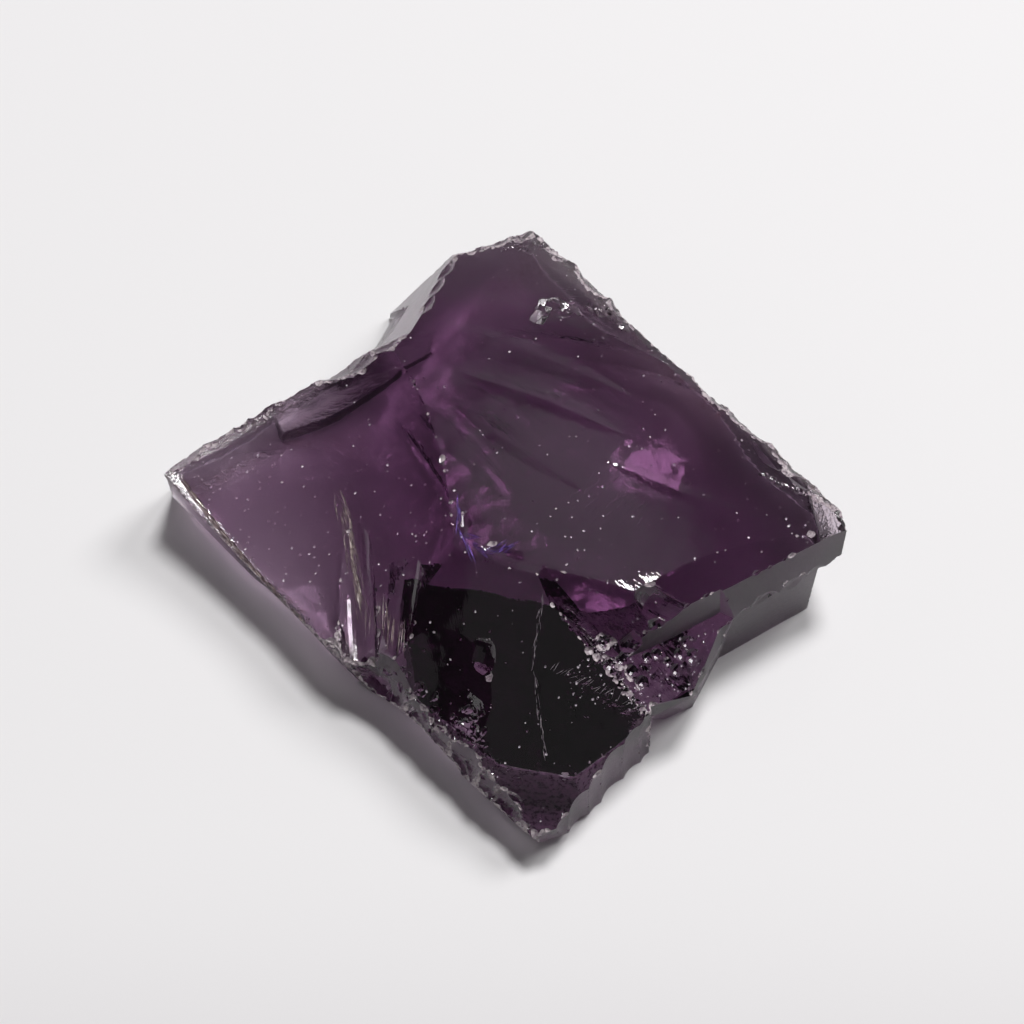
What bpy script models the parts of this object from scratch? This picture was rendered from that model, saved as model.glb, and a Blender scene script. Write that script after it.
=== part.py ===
"""Rough alexandrite: one broken, glassy block of purple crystal, lying on its flat underside.

The block is a closed slab. Every face that it shows is the scar of a fracture, so each is made the way a
fracture makes it: a cutter with that face as its underside takes away all that lies outside the face. Two
or more such cutters, intersected first, leave a valley, and a single one leaves a ridge. Smaller scars are
bites: a ball, or a stretched ball, sunk a little way into the stone. Sizes are in millimetres until they
reach Blender. +Z is up, +X is the stone's right, and its front is at -Y.
"""

import math
import random
from collections import namedtuple
from itertools import chain

import bmesh
import bpy
from mathutils import Euler, Matrix, Vector

MM = 0.001

# The slab that is broken, before any face is made.
SLAB_SIDE = 70.0
SLAB_HEIGHT = 16.0

# Where the middle of the finished stone's base lies in the plan that the places below are given in.
PLAN_CENTRE = Vector((-0.88, 0.16, 0.0))

# One fracture face. at is a point on it. Its outward normal leans tilt degrees from straight up, towards
# heading degrees from +X. bend is its curvature, in 1/mm, down its slope and across it, above 0 where it is
# hollow, and twist is its warp. span is how far it is modelled from at, and cell the size of its facets.
Face = namedtuple("Face", "at tilt heading bend twist span cell", defaults=((0, 0), 0, 40.0, 80.0))

# The floor of the pitted hollow, which two walls stand round.
HOLLOW_FLOOR = Face((11.1, -14.1, 6.7), 29.0, -37.0, (0.0, 0.03), 0, 14, 1.4)

# A cut is one face, or the faces that together bound one valley.
FLANK_CUTS = {
    "front_left_flank": [Face((-12.1, -12.7, 5.33), 107.5, -137.0, (0.01, -0.0023), -0.005, 40, 4)],
    "left_tip": [Face((-26.1, 3.6, 6.5), 84.0, 165.0)],
    "back_left_flank": [
        Face((-18.6, 8.35, 8.3), 66.0, 124.5, (0, -0.014), 0, 40, 4),
        Face((-7.1, 16.3, 9.0), 60.0, 152.5),
    ],
    "back_corner": [Face((-1.7, 23.3, 8.6), 80.0, 112.0)],
    "back_right_flank": [Face((14.4, 10.1, 9.4), 92.0, 41.2)],
    "right_corner": [Face((24.4, -3.0, 7.5), 100.0, 8.0)],
    "right_undercut": [
        Face((22.4, -4.5, 0.5), 92.0, 10.0),
        Face((23.0, -4.0, 6.5), 165.0, -20.0),
    ],
    "front_right_flank": [
        Face((9.0, -18.4, 3.0), 87.0, -41.0),
        Face((10.6, -16.4, 5.0), 90.0, 190.0),
    ],
    "hollow_flank": [
        Face((11.0, -16.0, 6.1), 88.0, -66.6),
        Face((10.0, -16.4, 3.0), 90.0, 10.0),
    ],
    "front_undercut": [
        Face((11.0, -15.2, 3.5), 100.0, -64.0),
        Face((10.2, -16.4, 3.0), 90.0, 10.0),
        Face((11.6, -15.2, 4.8), 150.0, -40.0),
    ],
    "front_tip": [Face((3.0, -24.6, 2.2), 100.0, -68.0)],
}
TOP_CUTS = {
    "broad_plate": [Face((6, 2, 12.0), 6.8, 56.7, (-0.0134, -0.0090), 0.0040, 34, 2.4)],
    "left_scoop": [Face((-14, 0, 6.73), 19.1, -154.7, (0.0334, 0.0134), -0.0194, 30, 1.6)],
    "front_plate": [
        Face((-3, -15, 7.93), 31.6, -120.5, (0.0020, -0.0267), 0.0094, 30, 2.0),
        Face((-9.6, -11.0, 7.2), 50.0, -48.0),
    ],
    "front_right_plate": [
        Face((4.35, -13.4, 9.68), 34.4, -78.8),
        Face((3.7, -18.45, 6.84), 29.3, -71.3),
        Face((6.3, -13.0, 8.0), 80.0, -139.0),
    ],
    "right_bevel": [Face((13, -9, 11.3), 34.0, -50.0)],
    "hollow_left": [HOLLOW_FLOOR, Face((6.5, -10.9, 10.95), 52.0, -106.0)],
    "hollow_right": [
        HOLLOW_FLOOR,
        Face((13.5, -10.1, 9.0), 86.0, -58.0),
        Face((16.0, -9.4, 6.5), 88.0, -105.0),
    ],
    "right_lip": [
        Face((16.1, -8.6, 10.0), 75.0, -56.8),
        Face((14.8, -11.9, 5.0), 78.0, -27.0),
    ],
    "right_hollow": [
        Face((18.6, -7.5, 3.0), 92.0, -58.0),
        Face((14.8, -11.9, 5.0), 96.0, -27.0),
        Face((19.0, -7.6, 6.6), 165.0, -56.0),
    ],
}
UNDERSIDE_CUTS = {
    "front_underscar": [
        Face((0.5, -3.7, 0.0), 165.2, -102.0),
        Face((-10.4, -11.1, 0.0), 100.0, 43.0),
        Face((8.3, -17.7, 0.0), 100.0, 139.0),
        Face((1.4, -21.2, 0.0), 100.0, 80.0),
        Face((-7.4, -7.0, 0.0), 106.0, -4.0),
        Face((12.2, -8.0, 0.0), 105.0, 185.0),
    ],
    "back_underscar": [
        Face((-12.5, 15.2, 0.0), 162.5, -78.0, (0.02, 0.0), 0, 14, 2.0),
        Face((-11.5, 10.6, 0.0), 106.0, 115.0, (0, 0.03), 0, 14, 2.0),
        Face((-18.5, 11.0, 0.0), 105.0, 20.0),
        Face((-5.8, 14.0, 0.0), 105.0, 180.0),
    ],
}

# A bite is the scar of one small flake: a ball of this radius sunk depth into the stone at a point, against
# a normal that is given as a face's is. stretch draws the ball out down its slope, into a rib or a flute.
Bite = namedtuple("Bite", "at tilt heading radius depth stretch", defaults=(1.0,))

# A ball over each of these radii has its facets split once more, so that the scars stay about as fine.
BALL_STEPS = (2.0, 6.0, 12.0)

SINGLE_BITES = {
    "long_edge_scar": Bite((20.4, 3.2, 9.9), 20.0, 41.0, 9.0, 0.8),
    "long_edge_step": Bite((22.6, 0.4, 9.7), 26.0, 60.0, 5.0, 0.7),
    "corner_scoop": Bite((9.8, -10.9, 10.8), 38.0, -20.0, 0.9, 0.1, 1.8),
    "corner_step": Bite((10.5, -11.6, 10.2), 45.0, -60.0, 0.8, 0.2),
    "feather_scar": Bite((-3.4, -4.2, 12.3), 4.0, -85.0, 0.8, 0.16, 4.0),
    "feather_barb": Bite((-1.6, -6.8, 12.4), 4.0, -20.0, 0.8, 0.16, 3.0),
    "front_plate_scoop": Bite((-5.2, -15.6, 6.6), 34.0, -128.0, 15.0, 0.6),
    "front_plate_nick": Bite((-2.3, -13.6, 8.6), 32.0, -110.0, 1.3, 0.25, 1.4),
    "hackle_flute": Bite((-11.9, -4.4, 6.5), 16.0, -86.0, 1.1, 0.18, 5.0),
    "hackle_fringe": Bite((-8.5, -10.0, 7.4), 18.0, -100.0, 1.0, 0.2, 3.0),
}

# Chips along an edge: its ends, the normal that they are sunk against, how many there are, the least and
# most radius and depth, and the seed of their scatter.
ChippedEdge = namedtuple("ChippedEdge", "start end tilt heading count radii depths seed")
CHIPPED_EDGES = {
    "front_left_nick": ChippedEdge(
        (-26.0, 2.1, 6.5), (-12.6, -12.2, 5.5), 52.0, -130.0, 8, (1.6, 3.2), (0.15, 0.4), 11),
    "back_left_nick": ChippedEdge(
        (-25.6, 3.8, 6.8), (-9.4, 12.7, 9.6), 52.0, 122.0, 9, (1.8, 3.6), (0.25, 0.6), 5),
    "back_corner_nick": ChippedEdge(
        (-4.0, 22.5, 8.2), (1.6, 24.2, 8.4), 45.0, 105.0, 6, (1.2, 2.2), (0.3, 0.6), 7),
    "back_right_nick": ChippedEdge(
        (2.2, 23.7, 8.5), (24.0, -1.4, 9.3), 48.0, 41.0, 15, (1.6, 3.4), (0.12, 0.38), 3),
    "left_wall_nick": ChippedEdge(
        (-4.6, 21.2, 8.7), (-8.0, 13.4, 10.3), 45.0, 152.0, 4, (1.4, 2.6), (0.15, 0.35), 2),
    "lip_nick": ChippedEdge(
        (23.6, -4.8, 6.9), (16.4, -9.2, 6.6), 100.0, -57.0, 5, (1.2, 2.4), (0.1, 0.3), 9),
}

# The large chips that line the front left edge, from its middle to the front tip: place along the edge from
# 0 at the left tip to 1 at the front tip, radius and depth.
FRONT_EDGE = ((-26.4, 2.5, 6.5), (1.6, -26.1, 3.7))
FRONT_EDGE_TILT, FRONT_EDGE_HEADING = 55.0, -128.0
FRONT_CHIPS = (
    (0.585, 5.2, 1.25), (0.665, 4.2, 0.90), (0.735, 3.0, 0.75), (0.790, 3.8, 0.85),
    (0.865, 2.6, 0.70), (0.910, 3.4, 0.85), (0.975, 2.4, 0.65),
)

# The ribs of the front right flank, from its front end to its right end, each rib the ridge between two
# upright flutes: place along the flank in millimetres, radius and depth.
RIB_LINE = ((3.4, -24.9, 3.2), (10.3, -16.9, 3.8))
RIB_HEADING = -41.0
RIB_FLUTES = (
    (0.6, 1.5, 0.40), (2.4, 2.2, 0.50), (4.3, 1.6, 0.45),
    (6.2, 2.4, 0.60), (8.3, 1.8, 0.50), (9.9, 1.4, 0.40),
)
RIB_STRETCH = 4.0

# The pits of the hollow's floor, scattered about a line down it. The floor widens as it goes down.
PIT_LINE = ((6.4, -13.6), (14.2, -13.5))
PIT_SPREAD = (0.9, 3.0)
PIT_COUNT = 14
PIT_SEED = 8

# Flutes in the underside. They fan out from under the back left corner of the broad plate: heading,
# distance from there to the flute's middle, radius and depth.
FLUTE_ORIGIN = Vector((-13.0, 18.0))
FLUTES = (
    (-12.0, 17.0, 2.2, 0.30), (-17.0, 20.0, 3.0, 0.34), (-23.0, 16.0, 1.6, 0.22), (-29.0, 20.0, 3.2, 0.38),
    (-36.0, 16.0, 1.6, 0.22), (-43.0, 20.0, 2.6, 0.32), (-52.0, 16.0, 1.8, 0.22),
)
FLUTE_STRETCH = 6.5

# The broad scars of the flanks and of the underside.
FLANK_SCARS = {
    "back_right_scar_0": Bite((5.0, 20.6, 1.0), 98.0, 38.0, 24.0, 1.3),
    "back_right_scar_1": Bite((12.6, 12.0, 6.0), 86.0, 44.0, 20.0, 1.0),
    "back_right_scar_2": Bite((19.6, 4.0, 1.5), 100.0, 40.0, 22.0, 1.2),
    "back_left_scar_0": Bite((-22.6, 8.4, 1.0), 74.0, 120.0, 20.0, 1.2),
    "back_left_scar_1": Bite((-15.0, 13.4, 3.0), 66.0, 128.0, 18.0, 1.1),
    "front_left_scar_0": Bite((-17.0, -6.4, 1.5), 112.0, -137.0, 24.0, 0.6),
    "front_left_scar_1": Bite((-7.4, -15.6, 1.0), 114.0, -131.0, 20.0, 0.9),
    "underside_scar_0": Bite((-14.5, 0.5, -0.3), 176.0, -150.0, 60.0, 0.9),
    "underside_scar_1": Bite((6.5, 2.8, 0.0), 178.0, 90.0, 36.0, 0.7),
}


def collection_named(name, hidden):
    collection = bpy.data.collections.new(name)
    bpy.context.scene.collection.children.link(collection)
    collection.hide_render = hidden
    return collection


def place_cutter(name, mesh, at, tilt, heading, cutters):
    cutter = bpy.data.objects.new(name, mesh)
    cutter.location = (Vector(at) - PLAN_CENTRE) * MM
    cutter.rotation_euler = Euler((0, math.radians(tilt), math.radians(heading)))
    cutter.display_type = "WIRE"
    cutter.hide_render = True
    cutters.objects.link(cutter)
    return cutter


def add_face_cutter(name, face, cutters):
    """A closed solid over one fracture face: a grid bent to the face, with its top drawn out level."""
    mesh = bpy.data.meshes.new(name)
    cells = max(1, round(2 * face.span / face.cell))
    bm = bmesh.new()
    bmesh.ops.create_grid(bm, x_segments=cells, y_segments=cells, size=face.span)
    for vertex in bm.verts:
        x, y = vertex.co.x, vertex.co.y
        vertex.co.z = (face.bend[0] * x * x + face.bend[1] * y * y) / 2 + face.twist * x * y
    top = bmesh.ops.extrude_face_region(bm, geom=bm.faces[:])
    for vertex in (v for v in top["geom"] if isinstance(v, bmesh.types.BMVert)):
        vertex.co.z = 2 * face.span
    bmesh.ops.recalc_face_normals(bm, faces=bm.faces)
    bmesh.ops.scale(bm, vec=(MM, MM, MM), verts=bm.verts)
    bm.to_mesh(mesh)
    bm.free()
    return place_cutter(name, mesh, face.at, face.tilt, face.heading, cutters)


def add_bite_cutter(name, bite, cutters):
    """A ball whose lowest point is depth below the bite's place, along the bite's normal."""
    mesh = bpy.data.meshes.new(name)
    bm = bmesh.new()
    lift = Matrix.Translation((0, 0, (bite.radius - bite.depth) * MM))
    subdivisions = 2 + sum(bite.radius > limit for limit in BALL_STEPS)
    bmesh.ops.create_icosphere(bm, subdivisions=subdivisions, radius=bite.radius * MM, matrix=lift)
    bmesh.ops.scale(bm, vec=(bite.stretch, 1, 1), verts=bm.verts)
    bm.to_mesh(mesh)
    bm.free()
    return place_cutter(name, mesh, bite.at, bite.tilt, bite.heading, cutters)


def add_boolean(target, tool, operation):
    """Many fracture faces meet at shallow angles, which only the MANIFOLD solver resolves."""
    boolean = target.modifiers.new(tool.name, "BOOLEAN")
    boolean.operation = operation
    boolean.solver = "MANIFOLD"
    boolean.object = tool


def cut_faces(stone, cuts, cutters):
    for name, faces in cuts.items():
        first, *others = [
            add_face_cutter(f"{name}_{number}", face, cutters) for number, face in enumerate(faces)
        ]
        for other in others:
            add_boolean(first, other, "INTERSECT")
        add_boolean(stone, first, "DIFFERENCE")


def nick_bites():
    """Each chipped edge's small chips, spaced unevenly along it."""
    for name, edge in CHIPPED_EDGES.items():
        rng = random.Random(edge.seed)
        start, end = Vector(edge.start), Vector(edge.end)
        for number in range(edge.count):
            at = start.lerp(end, (number + rng.uniform(0.15, 0.85)) / edge.count)
            tilt = edge.tilt + rng.uniform(-12, 12)
            heading = edge.heading + rng.uniform(-20, 20)
            radius, depth = rng.uniform(*edge.radii), rng.uniform(*edge.depths)
            yield f"{name}_{number}", Bite(at, tilt, heading, radius, depth)


def front_chip_bites():
    start, end = (Vector(point) for point in FRONT_EDGE)
    for number, (along, radius, depth) in enumerate(FRONT_CHIPS):
        at = start.lerp(end, along)
        yield f"front_chip_{number}", Bite(at, FRONT_EDGE_TILT, FRONT_EDGE_HEADING, radius, depth)


def rib_bites():
    start, end = (Vector(point) for point in RIB_LINE)
    along = (end - start).normalized()
    for number, (distance, radius, depth) in enumerate(RIB_FLUTES):
        at = start + along * distance
        yield f"rib_flute_{number}", Bite(at, 90.0, RIB_HEADING, radius, depth, RIB_STRETCH)


def hollow_floor_height(x, y):
    heading = math.radians(HOLLOW_FLOOR.heading)
    reach = (x - HOLLOW_FLOOR.at[0]) * math.cos(heading) + (y - HOLLOW_FLOOR.at[1]) * math.sin(heading)
    return HOLLOW_FLOOR.at[2] - math.tan(math.radians(HOLLOW_FLOOR.tilt)) * reach


def pit_bites():
    rng = random.Random(PIT_SEED)
    top, foot = (Vector(point) for point in PIT_LINE)
    across = (foot - top).orthogonal().normalized()
    for number in range(PIT_COUNT):
        down = (number + rng.random()) / PIT_COUNT
        spread = PIT_SPREAD[0] + down * (PIT_SPREAD[1] - PIT_SPREAD[0])
        x, y = top.lerp(foot, down) + across * spread * rng.uniform(-1, 1)
        radius, depth = rng.uniform(0.4, 0.75), rng.uniform(0.14, 0.26)
        at = (x, y, hollow_floor_height(x, y))
        yield f"pit_{number}", Bite(at, HOLLOW_FLOOR.tilt, HOLLOW_FLOOR.heading, radius, depth)


def flute_bites():
    for number, (heading, distance, radius, depth) in enumerate(FLUTES):
        direction = Vector((math.cos(math.radians(heading)), math.sin(math.radians(heading))))
        at = (*(FLUTE_ORIGIN + direction * distance), 0.0)
        yield f"flute_{number}", Bite(at, 180.0, heading, radius, depth, FLUTE_STRETCH)


def cut_bites(stone, cutters):
    scattered = (nick_bites(), front_chip_bites(), rib_bites(), flute_bites(), pit_bites())
    for name, bite in chain(FLANK_SCARS.items(), SINGLE_BITES.items(), *scattered):
        add_boolean(stone, add_bite_cutter(name, bite, cutters), "DIFFERENCE")


def add_slab():
    bpy.ops.mesh.primitive_cube_add(size=1, location=(0, 0, SLAB_HEIGHT / 2 * MM))
    slab = bpy.context.object
    slab.scale = (SLAB_SIDE * MM, SLAB_SIDE * MM, SLAB_HEIGHT * MM)
    bpy.ops.object.transform_apply(location=False, rotation=False, scale=True)
    return slab


def crystal_material():
    material = bpy.data.materials.new("purple_crystal")
    material.use_nodes = True
    shader = material.node_tree.nodes["Principled BSDF"]
    shader.inputs["Base Color"].default_value = (0.12, 0.05, 0.11, 1)
    shader.inputs["Roughness"].default_value = 0.05
    shader.inputs["IOR"].default_value = 1.74
    return material


def build():
    for old in list(bpy.data.objects):
        bpy.data.objects.remove(old)
    cutters = collection_named("fracture_cutters", hidden=True)
    stone = add_slab()
    stone.name = "alexandrite"
    stone.data.materials.append(crystal_material())
    cut_faces(stone, FLANK_CUTS, cutters)
    cut_faces(stone, TOP_CUTS, cutters)
    cut_faces(stone, UNDERSIDE_CUTS, cutters)
    cut_bites(stone, cutters)
    stone.data.set_sharp_from_angle(angle=math.radians(25))


build()
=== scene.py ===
"""The rough alexandrite, dressed: the block of the solid, broken by the same fractures, with the fine surface
that each one left. Sizes are in millimetres until they reach Blender, and angles in the tables in degrees.
+Z is up, and the camera looks from -Y. Places are in a plan whose PLAN_CENTRE is the object's middle."""

import math
import random
from collections import namedtuple
from itertools import chain

import bmesh
import bpy
from mathutils import Euler, Matrix, Vector, noise
from mathutils.bvhtree import BVHTree


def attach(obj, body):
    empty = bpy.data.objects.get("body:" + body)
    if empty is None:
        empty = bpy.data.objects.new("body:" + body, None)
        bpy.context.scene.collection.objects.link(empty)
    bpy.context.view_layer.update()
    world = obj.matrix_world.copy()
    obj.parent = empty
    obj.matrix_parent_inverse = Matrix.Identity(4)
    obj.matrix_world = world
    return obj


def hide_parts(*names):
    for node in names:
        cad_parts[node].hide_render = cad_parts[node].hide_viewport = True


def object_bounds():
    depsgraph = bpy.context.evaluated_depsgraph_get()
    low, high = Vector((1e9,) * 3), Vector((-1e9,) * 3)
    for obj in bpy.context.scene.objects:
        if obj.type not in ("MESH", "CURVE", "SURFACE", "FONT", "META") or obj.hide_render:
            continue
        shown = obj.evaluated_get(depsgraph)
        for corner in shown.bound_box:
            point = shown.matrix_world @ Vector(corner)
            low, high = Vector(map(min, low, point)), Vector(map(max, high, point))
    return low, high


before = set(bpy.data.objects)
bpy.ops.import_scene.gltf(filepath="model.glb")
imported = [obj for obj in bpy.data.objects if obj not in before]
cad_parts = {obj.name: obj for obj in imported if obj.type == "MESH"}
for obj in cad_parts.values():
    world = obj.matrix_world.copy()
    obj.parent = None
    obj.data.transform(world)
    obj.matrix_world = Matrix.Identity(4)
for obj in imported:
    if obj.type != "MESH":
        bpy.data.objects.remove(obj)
cad_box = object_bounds()

MM = 0.001
SLAB_SIDE = 70.0
SLAB_HEIGHT = 16.0
PLAN_CENTRE = Vector((-0.88, 0.16, 0.0))

# How far a face's cutter stands over it.
CUTTER_TOP = 400.0

# ---------------------------------------------------------------------------------------------------------
# The shape: the fracture faces and bites of the solid, with the fine relief that each fracture left.

# The relief of a fracture face, in its own plane: where the crack came from, the spacing and height of its
# conchoidal rings, the height of the streaks that run out from there, and the height of its slow swell.
Relief = namedtuple("Relief", "source ring_gap ring streak swell", defaults=((0, 0), 3.0, 0.0, 0.0, 0.0))
PLAIN = Relief((12, 18), 2.6, 0.006, 0.006, 0.05)

# A fracture face: a point on it, the tilt and heading of its normal, its bends and its twist, then half the
# width of its fine grid, the size of the grid's cells, and its relief.
Face = namedtuple(
    "Face", "at tilt heading bend twist span cell relief", defaults=((0, 0), 0, 24.0, 0.8, PLAIN))
# A face that only bounds the one before it has a grid of one cell.
LIMIT = dict(span=60.0, cell=120.0, relief=None)
HOLLOW_FLOOR = Face(
    (11.1, -14.1, 6.7), 29.0, -37.0, (0.0, 0.03), 0, 14, 0.3, Relief((-6, 2), 1.3, 0.012, 0.02, 0.10))

FLANK_CUTS = {
    "front_left_flank": [Face((-12.1, -12.7, 5.33), 107.5, -137.0, (0.01, -0.0023), -0.005, 32, 0.9)],
    "left_tip": [Face((-26.1, 3.6, 6.5), 84.0, 165.0, span=14, cell=0.8)],
    "back_left_flank": [
        Face((-18.6, 8.35, 8.3), 66.0, 124.5, (0, -0.014), 0, 24, 0.7),
        Face((-7.1, 16.3, 9.0), 60.0, 152.5, span=16, cell=0.7),
    ],
    "back_corner": [Face((-1.7, 23.3, 8.6), 80.0, 112.0, span=14, cell=0.7)],
    "back_right_flank": [Face((14.4, 10.1, 9.4), 92.0, 41.2, span=24, cell=0.8)],
    "right_corner": [Face((24.4, -3.0, 7.5), 100.0, 8.0, span=12, cell=0.8)],
    "right_undercut": [
        Face((22.4, -4.5, 0.5), 92.0, 10.0, **LIMIT),
        Face((23.0, -4.0, 6.5), 165.0, -20.0, **LIMIT),
    ],
    "front_right_flank": [
        Face((9.0, -18.4, 3.0), 87.0, -41.0, span=14, cell=0.5),
        Face((10.6, -16.4, 5.0), 90.0, 190.0, **LIMIT),
    ],
    "hollow_flank": [
        Face((11.0, -16.0, 6.1), 88.0, -66.6, span=12, cell=0.7),
        Face((10.0, -16.4, 3.0), 90.0, 10.0, **LIMIT),
    ],
    "front_undercut": [
        Face((11.0, -15.2, 3.5), 100.0, -64.0, span=12, cell=0.7),
        Face((10.2, -16.4, 3.0), 90.0, 10.0, **LIMIT),
        Face((11.6, -15.2, 4.8), 150.0, -40.0, **LIMIT),
    ],
    "front_tip": [Face((3.0, -24.6, 2.2), 100.0, -68.0, span=10, cell=0.7)],
}
TOP_CUTS = {
    "broad_plate": [Face(
        (6, 2, 12.0), 6.8, 56.7, (-0.0134, -0.0090), 0.0040, 27, 0.45,
        Relief((-8, 22), 3.4, 0.006, 0.010, 0.07))],
    "left_scoop": [Face(
        (-14, 0, 6.73), 19.1, -154.7, (0.0334, 0.0134), -0.0194, 21, 0.4,
        Relief((-14, -12), 3.0, 0.010, 0.010, 0.06))],
    "front_plate": [
        Face((-3, -15, 7.93), 31.6, -120.5, (0.0020, -0.0267), 0.0094, 18, 0.4,
             Relief((-14, 4), 2.4, 0.010, 0.012, 0.06)),
        Face((-9.6, -11.0, 7.2), 50.0, -48.0, **LIMIT),
    ],
    "front_right_plate": [
        Face((4.35, -13.4, 9.68), 34.4, -78.8, span=14, cell=0.4),
        Face((3.7, -18.45, 6.84), 29.3, -71.3, span=12, cell=0.4),
        Face((6.3, -13.0, 8.0), 80.0, -139.0, **LIMIT),
    ],
    "right_bevel": [Face((13, -9, 11.3), 34.0, -50.0, span=16, cell=0.5)],
    "hollow_left": [HOLLOW_FLOOR, Face((6.5, -10.9, 10.95), 52.0, -106.0, span=10, cell=0.3)],
    "hollow_right": [
        HOLLOW_FLOOR,
        Face((13.5, -10.1, 9.0), 86.0, -58.0, span=10, cell=0.4),
        Face((16.0, -9.4, 6.5), 88.0, -105.0, **LIMIT),
    ],
    "right_lip": [
        Face((16.1, -8.6, 10.0), 75.0, -56.8, span=14, cell=0.5),
        Face((14.8, -11.9, 5.0), 78.0, -27.0, **LIMIT),
    ],
    "right_hollow": [
        Face((18.6, -7.5, 3.0), 92.0, -58.0, span=10, cell=0.5),
        Face((14.8, -11.9, 5.0), 96.0, -27.0, **LIMIT),
        Face((19.0, -7.6, 6.6), 165.0, -56.0, **LIMIT),
    ],
}

UNDERSIDE_CUTS = {
    "front_underscar": [
        Face((0.5, -3.7, 0.0), 165.2, -102.0, (0.0, 0.004), 0, 26, 0.6),
        Face((-10.4, -11.1, 0.0), 100.0, 43.0, (0, 0.003), 0, 20, 0.7),
        Face((8.3, -17.7, 0.0), 100.0, 139.0, (0, 0.01), 0, 16, 0.7),
        Face((1.4, -21.2, 0.0), 100.0, 80.0, (0, 0.02), 0, 14, 0.7),
        Face((-7.4, -7.0, 0.0), 106.0, -4.0, (0, 0.01), 0, 14, 0.7),
        Face((12.2, -8.0, 0.0), 105.0, 185.0, span=14, cell=0.8),
    ],
    "back_underscar": [
        Face((-12.5, 15.2, 0.0), 162.5, -78.0, (0.02, 0.004), 0, 14, 0.6),
        Face((-11.5, 10.6, 0.0), 106.0, 115.0, (0, 0.03), 0, 14, 0.7),
        Face((-18.5, 11.0, 0.0), 105.0, 20.0, span=12, cell=0.8),
        Face((-5.8, 14.0, 0.0), 105.0, 180.0, span=12, cell=0.8),
    ],
}

# Opaque walls and lips of the front underscar, cut slightly deeper than the scar and coloured as painted
# shade, which darkens the front plates seen through the stone.
PAINTED_SHADE_CUTS = {
    "front_walls": [
        Face((0.5, -4.1, 0.0), 165.2, -102.0, (0.0, 0.004), 0, 26, 1.0),
        Face((-10.55, -11.25, 0.0), 100.0, 43.0, (0, 0.003), 0, 20, 1.0),
        Face((8.45, -17.9, 0.0), 100.0, 139.0, (0, 0.01), 0, 16, 1.0),
        Face((1.4, -21.4, 0.0), 100.0, 80.0, (0, 0.02), 0, 14, 1.0),
        Face((-7.2, -7.0, 0.0), 106.0, -4.0, (0, 0.01), 0, 14, 1.0),
        Face((12.0, -8.0, 0.0), 105.0, 185.0, span=14, cell=1.0),
    ],
    "front_lip": [Face((1.4, -20.4, 0.0), 165.2, -98.0, span=14, cell=1.0)],
    "front_left_lip": [
        Face((-9.4, -10.2, 0.0), 168.0, -137.0, span=20, cell=1.0),
        Face((-11.4, -11.0, 0.0), 104.0, -47.0, span=9, cell=1.0),
    ],
}
PAINTED_SHADE_COLOUR = (0.30, 0.165, 0.28, 1.0)

# A bowl-shaped chip: its place, the tilt and heading of its normal, the radius of its ball, how deep it goes,
# and how much longer it is along its heading than across.
Bite = namedtuple("Bite", "at tilt heading radius depth stretch", defaults=(1.0,))

SINGLE_BITES = {
    "long_edge_scar": Bite((20.4, 3.2, 9.9), 20.0, 41.0, 9.0, 0.8),
    "long_edge_step": Bite((22.6, 0.4, 9.7), 26.0, 60.0, 5.0, 0.7),
    "corner_scoop": Bite((9.8, -10.9, 10.8), 38.0, -20.0, 0.9, 0.1, 1.8),
    "corner_step": Bite((10.5, -11.6, 10.2), 45.0, -60.0, 0.8, 0.2),
    "feather_scar": Bite((-3.4, -4.2, 12.3), 4.0, -85.0, 0.8, 0.16, 4.0),
    "feather_barb": Bite((-1.6, -6.8, 12.4), 4.0, -20.0, 0.8, 0.16, 3.0),
    "front_plate_scoop": Bite((-5.2, -15.6, 6.6), 34.0, -128.0, 15.0, 0.6),
    "front_plate_nick": Bite((-2.3, -13.6, 8.6), 32.0, -110.0, 1.3, 0.25, 1.4),
    "hackle_flute": Bite((-11.9, -4.4, 6.5), 16.0, -86.0, 1.1, 0.09, 7.0),
    "hackle_fringe": Bite((-8.5, -10.0, 7.4), 18.0, -100.0, 1.0, 0.1, 4.0),
}
FLANK_SCARS = {
    "back_right_scar_0": Bite((5.0, 20.6, 1.0), 98.0, 38.0, 24.0, 1.3),
    "back_right_scar_1": Bite((12.6, 12.0, 6.0), 86.0, 44.0, 20.0, 1.0),
    "back_right_scar_2": Bite((19.6, 4.0, 1.5), 100.0, 40.0, 22.0, 1.2),
    "back_left_scar_0": Bite((-22.6, 8.4, 1.0), 74.0, 120.0, 20.0, 1.2),
    "back_left_scar_1": Bite((-15.0, 13.4, 3.0), 66.0, 128.0, 18.0, 1.1),
    "front_left_scar_0": Bite((-17.0, -6.4, 1.5), 112.0, -137.0, 24.0, 0.6),
    "front_left_scar_1": Bite((-7.4, -15.6, 1.0), 114.0, -131.0, 20.0, 0.9),
    "underside_scar_0": Bite((-14.5, 0.5, -0.3), 176.0, -150.0, 60.0, 0.9),
    "underside_scar_1": Bite((6.5, 2.8, 0.0), 178.0, 90.0, 36.0, 0.7),
}

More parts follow.
